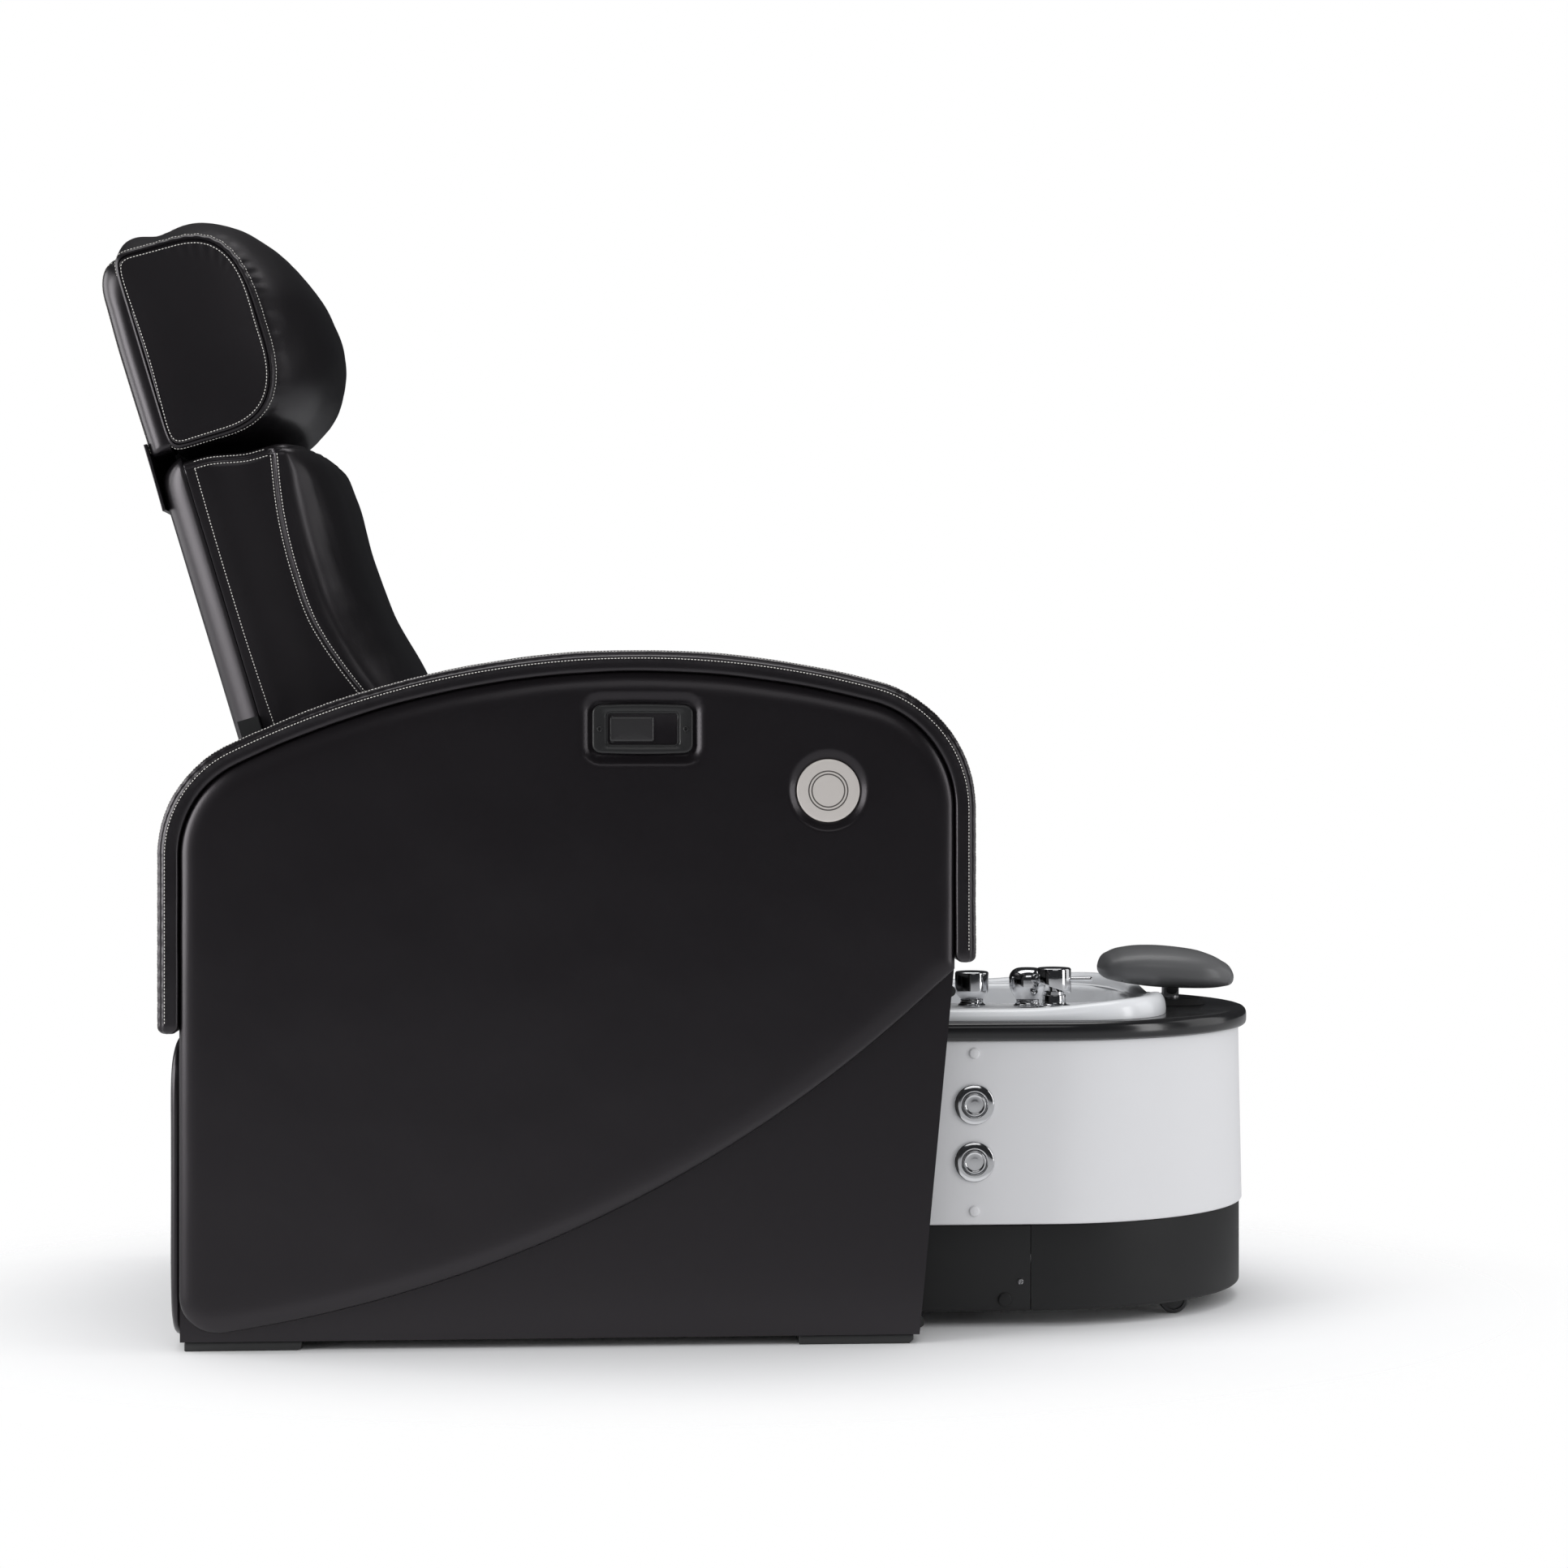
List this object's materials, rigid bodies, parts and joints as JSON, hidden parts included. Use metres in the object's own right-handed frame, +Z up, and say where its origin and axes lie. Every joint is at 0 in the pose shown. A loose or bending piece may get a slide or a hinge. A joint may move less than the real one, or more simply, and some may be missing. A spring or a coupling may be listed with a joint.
{
  "type": "pedicure spa chair",
  "caption": "Upholstered pedicure armchair with a reclining back and sliding headrest, and a wheeled foot spa tub that rolls out from under the seat.",
  "frame": {"origin": "on the floor, below the middle of the whole length and on the chair's middle plane", "axes": "+X from the back of the chair to the front of the tub, +Y to the sitter's left, +Z up"},
  "size_m": [1.5043, 0.7811, 1.4175],
  "materials": {
    "black_leather": "soft grey sheen, fine grain, over board",
    "black_upholstery": "coated fabric with a leather grain over foam, soft grey sheen, off-white stitching",
    "timber": "plywood and softwood, unfinished",
    "frame_steel": "black powder coat",
    "black_plastic": "fine moulded texture",
    "black_gloss": "polished",
    "white_acrylic": "polished sanitary acrylic",
    "chrome": "bright plated",
    "brushed_disc": "turned and brushed",
    "zinc_steel": "zinc plated",
    "wheel_plastic": "polyurethane tread",
    "black_rubber": "matt",
    "footrest_foam": "skinned soft foam",
    "pump_plastic": "moulded"
  },
  "bodies": {
    "chair": {"arm_frame_left": "timber", "arm_frame_right": "timber", "outer_panel_left": "black_leather", "outer_panel_right": "black_leather", "inner_panel_left": "black_leather", "inner_panel_right": "black_leather", "side_pad_left": "black_upholstery", "side_pad_right": "black_upholstery", "arm_band_left": "black_upholstery", "arm_band_right": "black_upholstery", "rear_panel": "black_leather", "rear_board": "black_leather", "cross_rails": "frame_steel", "slide_sleeves": "frame_steel", "seat_deck": "timber", "seat_cushion": "black_upholstery", "feet": "black_rubber", "front_bumpers": "black_rubber", "latch_bezel": "black_plastic", "latch_pin": "zinc_steel", "latch_screws": "zinc_steel", "release_cable": "black_plastic", "side_disc": "brushed_disc", "recliner_left": "zinc_steel", "recliner_right": "zinc_steel"},
    "paddle": {"latch_paddle": "black_plastic"},
    "back": {"back_frame": "frame_steel", "back_board": "timber", "back_cover": "black_leather", "back_cushion": "black_upholstery"},
    "headrest": {"headrest_pillow": "black_upholstery", "headrest_sleeve": "black_upholstery"},
    "tub": {"tub_frame": "frame_steel", "skirt": "white_acrylic", "kick_front": "black_plastic", "kick_left": "black_plastic", "kick_right": "black_plastic", "rim": "black_gloss", "basin": "white_acrylic", "skirt_caps": "white_acrylic", "kick_screws": "zinc_steel", "button_bezels": "chrome", "casters": "zinc_steel", "slide_bars": "zinc_steel", "mixer_base": "chrome", "deck_collars": "chrome", "basin_fittings": "chrome", "jet_pump": "pump_plastic", "footrest_socket": "black_plastic"},
    "jet_push": {"jet_button": "chrome"},
    "light_push": {"light_button": "chrome"},
    "front_axle": {"front_wheels": "wheel_plastic"},
    "rear_axle": {"rear_wheels": "wheel_plastic"},
    "mixer_turret": {"mixer_cartridge": "chrome"},
    "mixer_lever": {"mixer_handle": "chrome"},
    "spout_arm": {"spout": "chrome"},
    "hand_sprayer": {"sprayer": "chrome"},
    "footrest_lift": {"footrest_post": "zinc_steel"},
    "footrest": {"footrest_plate": "black_plastic", "footrest_pad": "footrest_foam"}
  },
  "joints": [
    {"name": "paddle_pull", "type": "hinge", "parent": "chair", "child": "paddle", "pos_m": [-0.1035, -0.3805, 0.763], "axis": [0, 0, -1], "range_deg": [0, 35], "stiffness_Nm_per_rad": 0.25},
    {"name": "recline", "type": "hinge", "parent": "chair", "child": "back", "pos_m": [-0.443, 0, 0.56], "axis": [0, -1, 0], "range_deg": [0, 25]},
    {"name": "headrest_slide", "type": "slide", "parent": "back", "child": "headrest", "axis": [-0.2874, 0, 0.9578], "range_m": [0, 0.06]},
    {"name": "tub_roll", "type": "slide", "parent": "chair", "child": "tub", "axis": [1, 0, 0], "range_m": [0, 0.265]},
    {"name": "front_wheel_roll", "type": "hinge", "parent": "tub", "child": "front_axle", "pos_m": [0.631, 0, 0.019], "axis": [0, 1, 0], "continuous": true},
    {"name": "rear_wheel_roll", "type": "hinge", "parent": "tub", "child": "rear_axle", "pos_m": [0.142, 0, 0.019], "axis": [0, 1, 0], "continuous": true},
    {"name": "jet_press", "type": "slide", "parent": "tub", "child": "jet_push", "axis": [0, 1, 0], "range_m": [0, 0.003], "stiffness_N_per_m": 400},
    {"name": "light_press", "type": "slide", "parent": "tub", "child": "light_push", "axis": [0, 1, 0], "range_m": [0, 0.003], "stiffness_N_per_m": 400},
    {"name": "mixer_swivel", "type": "hinge", "parent": "tub", "child": "mixer_turret", "pos_m": [0.47, -0.204, 0.419], "axis": [0, 0, 1], "range_deg": [-45, 45]},
    {"name": "mixer_lift", "type": "hinge", "parent": "mixer_turret", "child": "mixer_lever", "pos_m": [0.47, -0.204, 0.439], "axis": [0, -1, 0], "range_deg": [0, 15]},
    {"name": "spout_swivel", "type": "hinge", "parent": "tub", "child": "spout_arm", "pos_m": [0.369, -0.152, 0.41], "axis": [0, 0, 1], "range_deg": [-50, 50]},
    {"name": "sprayer_lift", "type": "slide", "parent": "tub", "child": "hand_sprayer", "axis": [0, 0, 1], "range_m": [0, 0.12]},
    {"name": "footrest_height", "type": "slide", "parent": "tub", "child": "footrest_lift", "axis": [0, 0, 1], "range_m": [0, 0.05]},
    {"name": "footrest_tilt", "type": "hinge", "parent": "footrest_lift", "child": "footrest", "pos_m": [0.659, 0, 0.411], "axis": [0, 1, 0], "range_deg": [-8, 15]}
  ],
  "couplings": [
    {"joint": "front_wheel_roll", "follows": "tub_roll", "rad_per_m": 52.632},
    {"joint": "rear_wheel_roll", "follows": "tub_roll", "rad_per_m": 52.632}
  ]
}
